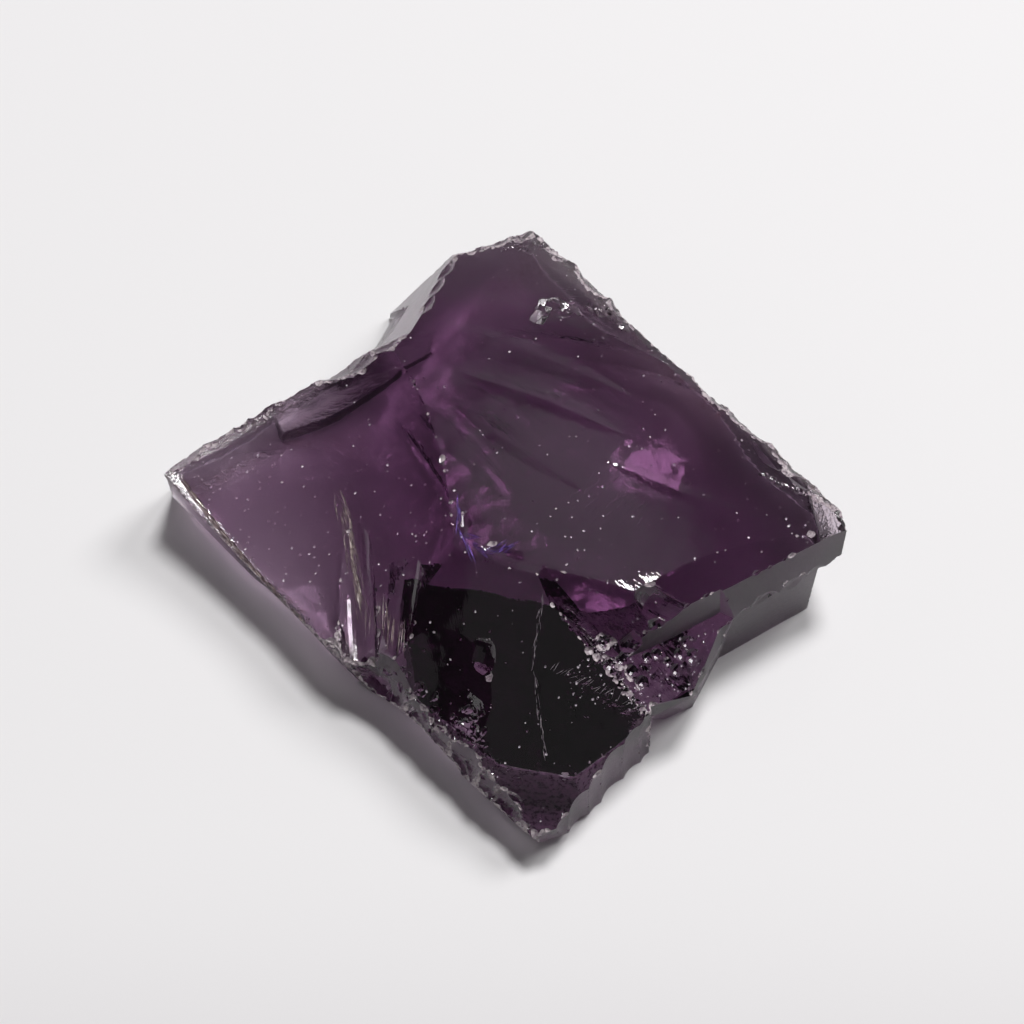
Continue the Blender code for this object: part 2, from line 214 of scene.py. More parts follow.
# Chips along an edge: its ends, the normal that they are sunk against, how many there are, the least and
# most radius and depth, and the seed of their scatter.
ChippedEdge = namedtuple("ChippedEdge", "start end tilt heading count radii depths seed")
CHIPPED_EDGES = {
    "front_left_nick": ChippedEdge(
        (-26.0, 2.1, 6.5), (-12.6, -12.2, 5.5), 52.0, -130.0, 8, (1.6, 3.2), (0.15, 0.4), 11),
    "back_left_nick": ChippedEdge(
        (-25.6, 3.8, 6.8), (-9.4, 12.7, 9.6), 52.0, 122.0, 9, (1.8, 3.6), (0.25, 0.6), 5),
    "back_corner_nick": ChippedEdge(
        (-4.0, 22.5, 8.2), (1.6, 24.2, 8.4), 45.0, 105.0, 6, (1.2, 2.2), (0.3, 0.6), 7),
    "back_right_nick": ChippedEdge(
        (2.2, 23.7, 8.5), (24.0, -1.4, 9.3), 48.0, 41.0, 15, (1.6, 3.4), (0.12, 0.38), 3),
    "left_wall_nick": ChippedEdge(
        (-4.6, 21.2, 8.7), (-8.0, 13.4, 10.3), 45.0, 152.0, 4, (1.4, 2.6), (0.15, 0.35), 2),
    "lip_nick": ChippedEdge(
        (23.6, -4.8, 6.9), (16.4, -9.2, 6.6), 100.0, -57.0, 5, (1.2, 2.4), (0.1, 0.3), 9),
}
# Where in its share of the edge a chip may lie, and how far its tilt and its heading stray.
NICK_STEP, NICK_TURN, NICK_SWING = (0.15, 0.85), 12, 20

# The large chips of the front edge: how far each is along it, from 0 to 1, with its radius and depth.
FRONT_EDGE = ((-26.4, 2.5, 6.5), (1.6, -26.1, 3.7))
FRONT_EDGE_TILT, FRONT_EDGE_HEADING = 55.0, -128.0
FRONT_CHIPS = (
    (0.585, 5.2, 1.25), (0.665, 4.2, 0.90), (0.735, 3.0, 0.75), (0.790, 3.8, 0.85),
    (0.865, 2.6, 0.70), (0.910, 3.4, 0.85), (0.975, 2.4, 0.65),
)

# The ribs of the right front flank: the flutes between them, by distance along the line, radius and depth.
RIB_LINE = ((3.4, -24.9, 3.2), (10.3, -16.9, 3.8))
RIB_HEADING = -41.0
RIB_FLUTES = (
    (0.6, 1.5, 0.40), (2.4, 2.2, 0.50), (4.3, 1.6, 0.45),
    (6.2, 2.4, 0.60), (8.3, 1.8, 0.50), (9.9, 1.4, 0.40),
)
RIB_STRETCH = 4.0

# The pits of the hollow's floor, scattered about a line from its top to its foot, and wider towards the foot.
PIT_LINE = ((6.4, -13.6), (14.2, -13.5))
PIT_SPREAD = (0.9, 3.0)
PIT_RADII, PIT_DEPTHS = (0.4, 0.75), (0.14, 0.26)
PIT_COUNT = 14
PIT_SEED = 8

# The flutes that fan out under the stone from a point at its back left: heading, distance, radius and depth.
FLUTE_ORIGIN = Vector((-13.0, 18.0))
FLUTES = (
    (-12.0, 17.0, 2.2, 0.30), (-17.0, 20.0, 3.0, 0.34), (-23.0, 16.0, 1.6, 0.22), (-29.0, 20.0, 3.2, 0.38),
    (-36.0, 16.0, 1.6, 0.22), (-43.0, 20.0, 2.6, 0.32), (-52.0, 16.0, 1.8, 0.22),
)
FLUTE_STRETCH = 6.5


def relief_height(relief, x, y):
    """How far a fracture face stands above its smooth form at a place in its plane."""
    if relief is None:
        return 0.0
    along, across = x - relief.source[0], y - relief.source[1]
    reach, turn = math.hypot(along, across), math.atan2(across, along)
    wander = noise.noise(Vector((x * 0.11, y * 0.11, 3.0)))
    rings = math.sin(2 * math.pi * (reach / relief.ring_gap + 1.6 * wander)) * (0.35 + abs(wander) * 1.6)
    streaks = noise.noise(Vector((turn * 34.0, reach * 0.05, 7.0)))
    streaks += 0.5 * noise.noise(Vector((turn * 90.0, reach * 0.10, 11.0)))
    swell = noise.noise(Vector((x * 0.13, y * 0.13, 17.0)))
    swell += 0.35 * noise.noise(Vector((x * 0.4, y * 0.4, 23.0)))
    return relief.ring * rings + relief.streak * streaks + relief.swell * swell


def bent_height(face, x, y):
    """How far the smooth form of a fracture face bends up from its flat plane."""
    return (face.bend[0] * x * x + face.bend[1] * y * y) / 2 + face.twist * x * y


def placed(mesh, at, tilt, heading):
    """mesh, stood on its place in the stone and turned from +Z to the tilt and heading."""
    turn = Euler((0, math.radians(tilt), math.radians(heading))).to_matrix().to_4x4()
    mesh.transform(Matrix.Translation((Vector(at) - PLAN_CENTRE) * MM) @ turn)
    return mesh


def shut(bm, level):
    """Draws a sheet's faces up to a level top, to close it, and turns its normals outward."""
    top = bmesh.ops.extrude_face_region(bm, geom=bm.faces[:])
    for vertex in (v for v in top["geom"] if isinstance(v, bmesh.types.BMVert)):
        vertex.co.z = level
    bmesh.ops.recalc_face_normals(bm, faces=bm.faces)
    if bm.calc_volume(signed=True) < 0:
        bmesh.ops.reverse_faces(bm, faces=bm.faces)


def face_mesh(face):
    """A closed solid over one fracture face: a grid bent to the face, with its top drawn out level."""
    mesh = bpy.data.meshes.new("fracture")
    cells = max(1, round(2 * face.span / face.cell))
    bm = bmesh.new()
    bmesh.ops.create_grid(bm, x_segments=cells, y_segments=cells, size=face.span)
    for vertex in bm.verts:
        x, y = vertex.co.x, vertex.co.y
        vertex.co.z = bent_height(face, x, y) + relief_height(face.relief, x, y)
    past_the_slab = SLAB_SIDE / face.span
    for vertex in [vertex for vertex in bm.verts if vertex.is_boundary]:
        x, y = vertex.co.x * past_the_slab, vertex.co.y * past_the_slab
        vertex.co = (x, y, bent_height(face, x, y))
    shut(bm, CUTTER_TOP)
    bmesh.ops.scale(bm, vec=(MM, MM, MM), verts=bm.verts)
    bm.to_mesh(mesh)
    bm.free()
    return placed(mesh, face.at, face.tilt, face.heading)


BITE_HEADROOM, BITE_CLEARANCE = 1.2, 0.5
BITE_CELL, BITE_CELLS = 0.28, (8, 44)
BITE_RELIEF = Relief(ring_gap=0.9, ring=0.012, streak=0.02)
BITE_SWELL = 0.05


def bite_mesh(bite):
    """A closed solid over a shallow bowl, which rises from depth below the bite's place along its normal."""
    mesh = bpy.data.meshes.new("bite")
    rise = min(bite.radius, BITE_HEADROOM)
    reach = math.sqrt(2 * bite.radius * (bite.depth + rise))
    cells = max(BITE_CELLS[0], min(BITE_CELLS[1], round(2 * reach / BITE_CELL)))
    swell = min(BITE_SWELL, 0.1 * bite.depth)
    relief = BITE_RELIEF._replace(source=(0.6 * reach, 0.5 * reach), swell=swell)
    bm = bmesh.new()
    bmesh.ops.create_grid(bm, x_segments=cells, y_segments=cells, size=reach)
    for vertex in bm.verts:
        x, y = vertex.co.x, vertex.co.y
        bowl = (x * x + y * y) / (2 * bite.radius) - bite.depth
        vertex.co = (x * bite.stretch, y, bowl + relief_height(relief, x * bite.stretch, y))
    shut(bm, 2 * (rise + bite.depth) + BITE_CLEARANCE)
    bmesh.ops.scale(bm, vec=(MM, MM, MM), verts=bm.verts)
    bm.to_mesh(mesh)
    bm.free()
    return placed(mesh, bite.at, bite.tilt, bite.heading)


def joined(meshes):
    """One mesh of all of them."""
    bm = bmesh.new()
    for mesh in meshes:
        bm.from_mesh(mesh)
    whole = bpy.data.meshes.new("joined")
    bm.to_mesh(whole)
    bm.free()
    return whole


def carve(target, tool, operation="DIFFERENCE"):
    """target's mesh, cut or intersected by the mesh tool, is replaced by the result."""
    if not tool.materials:
        for material in target.data.materials:
            tool.materials.append(material)
    cutter = bpy.data.objects.new("cutter", tool)
    bpy.context.scene.collection.objects.link(cutter)
    boolean = target.modifiers.new("cut", "BOOLEAN")
    boolean.operation = operation
    boolean.solver = "MANIFOLD"
    boolean.object = cutter
    depsgraph = bpy.context.evaluated_depsgraph_get()
    result = bpy.data.meshes.new_from_object(target.evaluated_get(depsgraph))
    target.modifiers.remove(boolean)
    old = target.data
    target.data = result
    bpy.data.objects.remove(cutter)
    bpy.data.meshes.remove(old)
    bpy.data.meshes.remove(tool)


def cut_faces(stone, cuts, colour=None):
    """Each cut removes what lies in front of all of its faces, and gives them its colour where there is one,
    which may be painted shade.
    """
    for name, faces in cuts.items():
        first, *others = [face_mesh(face) for face in faces]
        if others:
            valley = bpy.data.objects.new(name, first)
            bpy.context.scene.collection.objects.link(valley)
            for other in others:
                carve(valley, other, "INTERSECT")
            first = valley.data.copy()
            first.materials.clear()
            bpy.data.objects.remove(valley)
        carve(stone, with_mark_and_light_colour(first, colour) if colour else first)


def nick_bites():
    """Each chipped edge's small chips, spaced unevenly along it."""
    for edge in CHIPPED_EDGES.values():
        rng = random.Random(edge.seed)
        start, end = Vector(edge.start), Vector(edge.end)
        for number in range(edge.count):
            at = start.lerp(end, (number + rng.uniform(*NICK_STEP)) / edge.count)
            tilt = edge.tilt + rng.uniform(-NICK_TURN, NICK_TURN)
            heading = edge.heading + rng.uniform(-NICK_SWING, NICK_SWING)
            radius, depth = rng.uniform(*edge.radii), rng.uniform(*edge.depths)
            yield Bite(at, tilt, heading, radius, depth)


def front_chip_bites():
    start, end = (Vector(point) for point in FRONT_EDGE)
    for along, radius, depth in FRONT_CHIPS:
        yield Bite(start.lerp(end, along), FRONT_EDGE_TILT, FRONT_EDGE_HEADING, radius, depth)


def rib_bites():
    start, end = (Vector(point) for point in RIB_LINE)
    along = (end - start).normalized()
    for distance, radius, depth in RIB_FLUTES:
        yield Bite(start + along * distance, 90.0, RIB_HEADING, radius, depth, RIB_STRETCH)


def hollow_floor_height(x, y):
    heading = math.radians(HOLLOW_FLOOR.heading)
    reach = (x - HOLLOW_FLOOR.at[0]) * math.cos(heading) + (y - HOLLOW_FLOOR.at[1]) * math.sin(heading)
    return HOLLOW_FLOOR.at[2] - math.tan(math.radians(HOLLOW_FLOOR.tilt)) * reach


def pit_bites():
    rng = random.Random(PIT_SEED)
    top, foot = (Vector(point) for point in PIT_LINE)
    across = (foot - top).orthogonal().normalized()
    for number in range(PIT_COUNT):
        down = (number + rng.random()) / PIT_COUNT
        spread = PIT_SPREAD[0] + down * (PIT_SPREAD[1] - PIT_SPREAD[0])
        x, y = top.lerp(foot, down) + across * spread * rng.uniform(-1, 1)
        radius, depth = rng.uniform(*PIT_RADII), rng.uniform(*PIT_DEPTHS)
        yield Bite((x, y, hollow_floor_height(x, y)), HOLLOW_FLOOR.tilt, HOLLOW_FLOOR.heading, radius, depth)


def flute_bites():
    for heading, distance, radius, depth in FLUTES:
        direction = Vector((math.cos(math.radians(heading)), math.sin(math.radians(heading))))
        at = (*(FLUTE_ORIGIN + direction * distance), 0.0)
        yield Bite(at, 180.0, heading, radius, depth, FLUTE_STRETCH)


def cut_bites(stone):
    scattered = (nick_bites(), front_chip_bites(), rib_bites(), flute_bites(), pit_bites())
    for bite in chain(FLANK_SCARS.values(), SINGLE_BITES.values(), *scattered):
        carve(stone, bite_mesh(bite))


# ---------------------------------------------------------------------------------------------------------
# Fine wear: flakes off the edges, specks on the faces, and the marks that the break left, some coloured as
# painted highlights, glints and reflections.

# A worn edge: its ends in plan, how far the wear reaches, how many flakes each millimetre of it has, and its
# frost, from 0 to 1.
WornEdge = namedtuple("WornEdge", "start end reach flakes frost")
WORN_EDGES = (
    WornEdge((0.5, 24.6), (24.6, -1.5), 1.6, 6.0, 0.9),
    WornEdge((-4.6, 22.6), (1.0, 24.8), 1.8, 5.0, 0.5),
    WornEdge((-26.4, 2.6), (1.6, -26.0), 1.4, 5.0, 0.7),
    WornEdge((-26.0, 3.6), (-9.4, 13.0), 1.4, 4.0, 0.6),
    WornEdge((4.2, -11.0), (9.4, -16.6), 0.9, 3.0, 0.3),
)
SLIGHT_FLAKES = 0.5
FROST_REACH = 0.6

# Flakes come off edges that fold by more than SHARP_FOLD, above the foot. Edges past CREASE are shaded sharp.
SHARP_FOLD, CREASE = 24, 3.2
FOOT_HEIGHT = 0.8

# A lump to knock out: how far its skin is roughened, the least it narrows to across, and how far it leans,
# in radians.
LUMP_ROUGHNESS, LUMP_WIDTH, LUMP_LEAN = (0.85, 1.12), 0.55, 0.4
APART_FAR = 4.0

# A flake's or a speck's size is a draw between two sizes, raised to a power so that small ones are the more
# common, and scaled. It sinks between two shares of its size, and keeps a reach of its own from the others.
FLAKE_SIZES, FLAKE_POWER, FLAKE_SCALE = (0.16, 0.60), 1.5, 1.3
FLAKE_SINK, FLAKE_FLATNESS, FLAKE_REACH = (0.20, 0.40), 0.55, 1.25
FLAKE_SEED = 21
SPECK_SIZES, SPECK_POWER, SPECK_SCALE = (0.05, 0.15), 1.3, 1.6
SPECK_SINK, SPECK_FLATNESS, SPECK_REACH, SPECK_SPREAD = (-0.1, 0.4), 0.9, 1.3, 0.15
SPECK_COUNT, SPECK_SEED = 520, 33

# Specks lie on faces that look up at least this much, off the foot, and thickest in the hollow.
SPECK_UPWARD, SPECK_LOWEST = 0.45, 1.0
HOLLOW_X, HOLLOW_Y, HOLLOW_TOP = (4, 15), (-17, -10), 9.5
LEFT_X, LEFT_Y = -9, 6
HOLLOW_SPECKS, LEFT_SPECKS, OTHER_SPECKS = 5.0, 1.6, 0.8

# The stone stays this far inside the sides of the solid's box, and the trimming box starts below the table.
TRIM_GAP, TRIM_DROP = 0.01, 5.0
PROBE_HEIGHT = 20.0

# Shallow dents that glint: the path in plan that they lie about, how far from it, and their number and sizes.
Glints = namedtuple("Glints", "path spread count sizes")
GLINTS = (
    Glints(((2.6, 15.9), (5.0, 15.5)), 0.5, 11, (0.45, 0.95)),
    Glints(((6.0, 16.3), (9.0, 14.4)), 0.6, 12, (0.45, 1.0)),
    Glints(((-1.0, 22.3), (2.6, 22.4)), 0.4, 12, (0.30, 0.60)),
    Glints(((18.2, 0.9), (20.6, -0.2), (22.8, -0.2)), 0.15, 14, (0.30, 0.55)),
    Glints(((-8.6, -5.9), (-7.2, -6.1)), 0.2, 4, (0.25, 0.40)),
    Glints(((-11.6, 2.4), (-11.2, 2.3)), 0.1, 2, (0.25, 0.35)),
    Glints(((-2.9, -16.5), (-2.4, -20.0)), 0.6, 20, (0.25, 0.55)),
    Glints(((-9.4, -13.0), (-4.2, -17.6), (0.8, -23.4)), 0.8, 44, (0.25, 0.60)),
)
GLINT_FLATNESS, GLINT_SINK, GLINT_REACH, GLINT_SEED = 0.36, 0.45, 1.2, 91

# Crushed stone scatters the light: its pale grains along worn edges. The pale dots on the faces are dust and
# painted glints, standing in for glinting pits.
GRAIN_SEED, GRAIN_SHARE, GRAIN_BRUISE = 57, 0.5, (0.55, 0.48, 0.50, 1.0)
DOT_SEED, DOT_COUNT, DOT_DUST_AND_GLINT_COLOUR = 71, 480, (0.85, 0.80, 0.84, 1.0)

# The long shallow furrows that the break left over the broad plate: paths in plan, width and depth.
Streak = namedtuple("Streak", "path width depth")
STREAK_STEPS = 24
PLATE_STREAKS = (
    Streak(((-5.6, 14.6), (2.0, 10.8), (9.4, 6.9)), 2.6, 0.07),
    Streak(((-4.6, 9.4), (2.6, 6.4), (8.6, 3.2)), 3.0, 0.08),
    Streak(((-6.0, 7.4), (-0.9, 3.1), (5.2, -2.0)), 2.4, 0.07),
    Streak(((-3.0, 17.6), (5.0, 14.6), (12.0, 10.6)), 2.2, 0.05),
    Streak(((6.6, 0.9), (12.6, -1.6), (19.0, -3.6)), 2.2, 0.06),
)

# A sheaf of slivers along a path in plan: how far they lie from it, how far they lean from its heading
# and fan out, in degrees, their lengths, width, depth and number, their colour, and a seed.
Sheaf = namedtuple("Sheaf", "path spread lean fan lengths width depth count colour seed")
SLIVER_STEP, SLIVER_WIDTHS, SLIVER_CURL = 0.35, (0.6, 1.4), 0.6

# A groove's top stands this far over the surface and is this much wider than the groove.
GROOVE_RISE, GROOVE_FLARE, GROOVE_TAPER = 0.06, 1.6, 0.7
# PALE_RIDGE_HIGHLIGHT slivers on the front ridges and rims are painted highlights that these ridges catch.
SAND, BEIGE, PALE_RIDGE_HIGHLIGHT = (0.21, 0.15, 0.15, 1.0), (0.42, 0.34, 0.32, 1.0), (0.62, 0.57, 0.60, 1.0)
# VIOLET_PAINTED_REFLECTION is the feather's flash: the cracks are real, their colour is painted reflection.
MAUVE, VIOLET_PAINTED_REFLECTION = (0.26, 0.18, 0.26, 1.0), (0.34, 0.22, 0.72, 1.0)
SHEAVES = {
    "hackle": Sheaf(
        ((-13.2, 1.4), (-12.5, -1.3), (-11.9, -4.3), (-11.2, -7.4)),
        0.45, 0, 7, (0.9, 2.6), 0.07, 0.04, 60, BEIGE, 5),
    "hackle_core": Sheaf(
        ((-12.3, -2.0), (-11.9, -4.3), (-11.3, -7.2)),
        0.12, 0, 3, (1.2, 2.8), 0.12, 0.05, 10, BEIGE, 6),
    "upper_striae": Sheaf(
        ((-10.9, -7.7), (-9.2, -8.2)),
        0.2, -72, 5, (2.0, 3.2), 0.09, 0.04, 9, BEIGE, 7),
    "lower_striae": Sheaf(
        ((-9.3, -9.4), (-7.7, -10.1)),
        0.2, -70, 5, (2.0, 3.0), 0.09, 0.04, 9, BEIGE, 8),
    "beige_band": Sheaf(
        ((-25.2, 2.9), (-22.3, -0.8), (-19.2, -4.5), (-15.9, -8.5)),
        0.14, 0, 6, (0.8, 1.8), 0.26, 0.05, 64, SAND, 15),
    # Pale slivers along the ridge, a painted highlight.
    "front_ridge": Sheaf(
        ((2.2, -10.0), (1.5, -14.6), (2.3, -20.0)),
        0.12, 0, 14, (0.3, 1.0), 0.06, 0.03, 34, PALE_RIDGE_HIGHLIGHT, 11),
    "front_right_line": Sheaf(
        ((2.6, -14.8), (5.6, -15.8), (9.0, -17.0)),
        0.08, 60, 30, (0.6, 0.9), 0.05, 0.03, 22, PALE_RIDGE_HIGHLIGHT, 12),
    "steep_band": Sheaf(
        ((3.9, -11.6), (8.6, -15.4)),
        0.35, 0, 25, (0.6, 0.9), 0.05, 0.03, 24, PALE_RIDGE_HIGHLIGHT, 13),
    "plate_scratches": Sheaf(
        ((5.4, -0.6), (9.0, -4.6)),
        2.4, -78, 10, (0.6, 1.3), 0.05, 0.02, 40, MAUVE, 14),
    # The feather's crack slivers, coloured as painted reflection.
    "feather_shaft": Sheaf(
        ((-3.9, -1.8), (-3.9, -4.6), (-3.1, -6.7)),
        0.12, 0, 8, (0.9, 1.8), 0.08, 0.05, 14, VIOLET_PAINTED_REFLECTION, 9),
    "feather_vane": Sheaf(
        ((-3.4, -5.2), (-2.1, -6.9), (-0.4, -6.9)),
        0.35, 25, 28, (0.5, 1.3), 0.06, 0.04, 26, VIOLET_PAINTED_REFLECTION, 10),
}


def wear_at(x, y):
    """(flakes per millimetre, frost from 0 to 1) at a place in plan."""
    flakes, frost = SLIGHT_FLAKES, 0.0
    for edge in WORN_EDGES:
        start, end = Vector(edge.start), Vector(edge.end)
        run = end - start
        along = min(1.0, max(0.0, (Vector((x, y)) - start).dot(run) / run.length_squared))
        away = (Vector((x, y)) - (start + run * along)).length
        if away < edge.reach:
            flakes = max(flakes, edge.flakes)
            frost = max(frost, edge.frost * max(0.0, 1 - away / (FROST_REACH * edge.reach)))
    return flakes, frost


def flake_mesh(at, normal, size, flatness, rng, subdivisions):
    """A small lump to knock out: a rough ball, flattened along the surface's normal and turned at random."""
    mesh = bpy.data.meshes.new("flake")
    bm = bmesh.new()
    bmesh.ops.create_icosphere(bm, subdivisions=subdivisions, radius=1.0)
    for vertex in bm.verts:
        vertex.co *= rng.uniform(*LUMP_ROUGHNESS)
    tangent = normal.orthogonal().normalized()
    basis = Matrix((tangent, normal.cross(tangent), normal)).transposed().to_4x4()
    spin = Matrix.Rotation(rng.uniform(0, 2 * math.pi), 4, "Z")
    lean = Matrix.Rotation(rng.uniform(-LUMP_LEAN, LUMP_LEAN), 4, "X")
    shape = Matrix.Diagonal((size, size * rng.uniform(LUMP_WIDTH, 1.0), size * flatness, 1.0))
    bm.transform(Matrix.Translation(at) @ basis @ spin @ lean @ shape)
    bm.to_mesh(mesh)
    bm.free()
    return mesh


def apart(one, other):
    """Whether two lumps, each its places, its reach about them and its mesh, don't touch each other."""
    gap = one[1] + other[1]
    if (one[0][0] - other[0][0]).length > gap + APART_FAR:
        return True
    return all((place - there).length > gap for place in one[0] for there in other[0])


def batches(lumps):
    """The lumps' meshes in groups whose members don't touch each other."""
    left = list(lumps)
    while left:
        group, later = [], []
        for lump in left:
            (group if all(apart(lump, other) for other in group) else later).append(lump)
        yield [mesh for _, _, mesh in group]
        left = later


def sharp_edges(mesh):
    """The middle, the mean normal and the run of each outward sharp edge, in millimetres."""
    bm = bmesh.new()
    bm.from_mesh(mesh)
    found = []
    for edge in bm.edges:
        if len(edge.link_faces) == 2 and edge.calc_face_angle_signed(0) > math.radians(SHARP_FOLD):
            one, other = edge.verts[0].co / MM, edge.verts[1].co / MM
            normal = (edge.link_faces[0].normal + edge.link_faces[1].normal).normalized()
            found.append(((one + other) / 2, normal, other - one))
    bm.free()
    found.sort(key=lambda item: tuple(round(value, 4) for value in item[0]))
    return found


def edge_flakes(mesh, seed, share):
    """Lumps along the sharp edges, as many as the wear there asks for, times share."""
    rng = random.Random(seed)
    for middle, normal, run in sharp_edges(mesh):
        place = middle + PLAN_CENTRE
        if middle.z < FOOT_HEIGHT:
            continue
        flakes = wear_at(place.x, place.y)[0] * run.length * share
        while rng.random() < flakes:
            flakes -= 1
            size = rng.uniform(*FLAKE_SIZES) ** FLAKE_POWER * FLAKE_SCALE
            at = middle + run * rng.uniform(-0.5, 0.5) + normal * size * rng.uniform(*FLAKE_SINK)
            yield [at], size * FLAKE_REACH, flake_mesh(at, normal, size, FLAKE_FLATNESS, rng, 1)


def speck_density(place, normal):
    """How thickly specks lie on a face, in patches outside the hollow."""
    if normal.z < SPECK_UPWARD or place.z < SPECK_LOWEST:
        return 0.0
    x, y = place.x, place.y
    patch = 0.35 + 1.6 * max(0.0, noise.noise(Vector((x * 0.12, y * 0.12, 31.0))))
    if HOLLOW_X[0] < x < HOLLOW_X[1] and HOLLOW_Y[0] < y < HOLLOW_Y[1] and place.z < HOLLOW_TOP:
        return HOLLOW_SPECKS
    if x < LEFT_X and y < LEFT_Y:
        return LEFT_SPECKS * patch
    return OTHER_SPECKS * patch


def face_specks(mesh, seed, count):
    """count tiny lumps, scattered over the faces as speck_density says."""
    rng = random.Random(seed)
    faces = []
    for face in mesh.polygons:
        place = Vector(face.center) / MM
        weight = face.area / MM ** 2 * speck_density(place + PLAN_CENTRE, face.normal)
        if weight > 0:
            faces.append((tuple(round(value, 4) for value in place), place, face.normal.copy(), weight))
    faces.sort(key=lambda item: item[0])
    chosen = rng.choices(faces, weights=[face[3] for face in faces], k=count)
    for _, place, normal, _ in chosen:
        size = rng.uniform(*SPECK_SIZES) ** SPECK_POWER * SPECK_SCALE
        aside = normal.orthogonal().normalized() * rng.uniform(-SPECK_SPREAD, SPECK_SPREAD)
        at = place + aside + normal * size * rng.uniform(*SPECK_SINK)
        yield [at], size * SPECK_REACH, flake_mesh(at, normal, size, SPECK_FLATNESS, rng, 1)


def trim(stone, box):
    """Takes off what passes the sides or the top of the box. The bottom stays as it is."""
    low, high = Vector(box[0]), Vector(box[1])
    low += Vector((TRIM_GAP, TRIM_GAP, -TRIM_DROP)) * MM
    high -= Vector((TRIM_GAP, TRIM_GAP, 0)) * MM
    mesh = bpy.data.meshes.new("trim")
    bm = bmesh.new()
    place, shape = Matrix.Translation((low + high) / 2), Matrix.Diagonal((*(high - low), 1))
    bmesh.ops.create_cube(bm, size=1, matrix=place @ shape)
    bm.to_mesh(mesh)
    bm.free()
    carve(stone, mesh, "INTERSECT")


def in_metres(mesh):
    mesh.transform(Matrix.Scale(MM, 4))
    return mesh


def top_of(stone):
    """A function from a place in plan to the point of the top over it and the top's normal there."""
    tree = BVHTree.FromObject(stone, bpy.context.evaluated_depsgraph_get())

    def top_at(x, y):
        above = (Vector((x, y, PROBE_HEIGHT)) - PLAN_CENTRE) * MM
        at, normal, _, _ = tree.ray_cast(above, Vector((0, 0, -1)))
        return (at / MM, normal) if at else None
    return top_at


def groove_mesh(points, width, depth):
    """A sliver that follows the surface through points, each a place and a normal, and thins to its ends."""
    mesh = bpy.data.meshes.new("groove")
    bm = bmesh.new()
    rings = []
    for number, (at, normal) in enumerate(points):
        ahead, behind = points[min(number + 1, len(points) - 1)][0], points[max(number - 1, 0)][0]
        across = normal.cross(ahead - behind).normalized()
        thinned = math.sin(math.pi * (number + 0.35) / (len(points) - 0.3)) ** GROOVE_TAPER
        half = width / 2 * thinned
        corners = (
            at + across * half * GROOVE_FLARE + normal * GROOVE_RISE,
            at - across * half * GROOVE_FLARE + normal * GROOVE_RISE,
            at - normal * depth * thinned,
        )
        rings.append([bm.verts.new(corner) for corner in corners])
    for one, other in zip(rings, rings[1:]):
        for side in range(3):
            following = (side + 1) % 3
            bm.faces.new((one[side], one[following], other[following], other[side]))
    bm.faces.new(rings[0])
    bm.faces.new(rings[-1])
    bmesh.ops.triangulate(bm, faces=bm.faces)
    bmesh.ops.recalc_face_normals(bm, faces=bm.faces)
    if bm.calc_volume(signed=True) < 0:
        bmesh.ops.reverse_faces(bm, faces=bm.faces)
    bm.to_mesh(mesh)
    bm.free()
    return mesh


def along_path(path, share):
    """The place and the heading, in radians, at a share from 0 to 1 of the way along a path in plan."""
    leg = min(int(share * (len(path) - 1)), len(path) - 2)
    start, end = Vector(path[leg]), Vector(path[leg + 1])
    run = end - start
    return start + run * (share * (len(path) - 1) - leg), math.atan2(run.y, run.x)


def sheaf_grooves(sheaf, top_at):
    """The sheaf's slivers as lumps (points, reach, mesh)."""
    rng = random.Random(sheaf.seed)
    for number in range(sheaf.count):
        place, heading = along_path(sheaf.path, (number + rng.random()) / sheaf.count)
        side = Vector((-math.sin(heading), math.cos(heading)))
        place = place + side * rng.uniform(-1, 1) * sheaf.spread
        turn = heading + math.radians(sheaf.lean + rng.uniform(-1, 1) * sheaf.fan)
        curl = math.radians(rng.uniform(-1, 1) * sheaf.fan * SLIVER_CURL)
        length = rng.uniform(*sheaf.lengths)
        steps = max(4, round(length / SLIVER_STEP))
        points = []
        for _ in range(steps + 1):
            hit = top_at(*place)
            if hit is None:
                break
            points.append(hit)
            place = place + Vector((math.cos(turn), math.sin(turn))) * length / steps
            turn += curl / steps
        if len(points) > 3:
            width = rng.uniform(*SLIVER_WIDTHS) * sheaf.width
            yield [at for at, _ in points], width, groove_mesh(points, width, sheaf.depth)


def with_mark_and_light_colour(mesh, colour):
    """mesh, with the opaque material of marks and painted light and a colour, which the faces that it cuts
    take over.
    """
    mesh.polygons.foreach_set("material_index", [1] * len(mesh.polygons))
    mark_and_light_colour = mesh.attributes.new("mark_and_light_colour", "FLOAT_COLOR", "CORNER")
    mark_and_light_colour.data.foreach_set("color", list(colour) * len(mesh.loops))
    return mesh


def carve_lumps(stone, lumps, colour=None):
    """Cuts the lumps out of the stone, with their colour where there is one, as many at a time as don't
    touch.
    """
    for group in batches(list(lumps)):
        tool = in_metres(joined(group))
        carve(stone, with_mark_and_light_colour(tool, colour) if colour else tool)


def streak_groove(streak, top_at):
    """The streak's furrow, as one lump."""
    points = []
    for number in range(STREAK_STEPS + 1):
        place, _ = along_path(streak.path, number / STREAK_STEPS)
        points.append(top_at(*place))
    return [at for at, _ in points], streak.width, groove_mesh(points, streak.width, streak.depth)


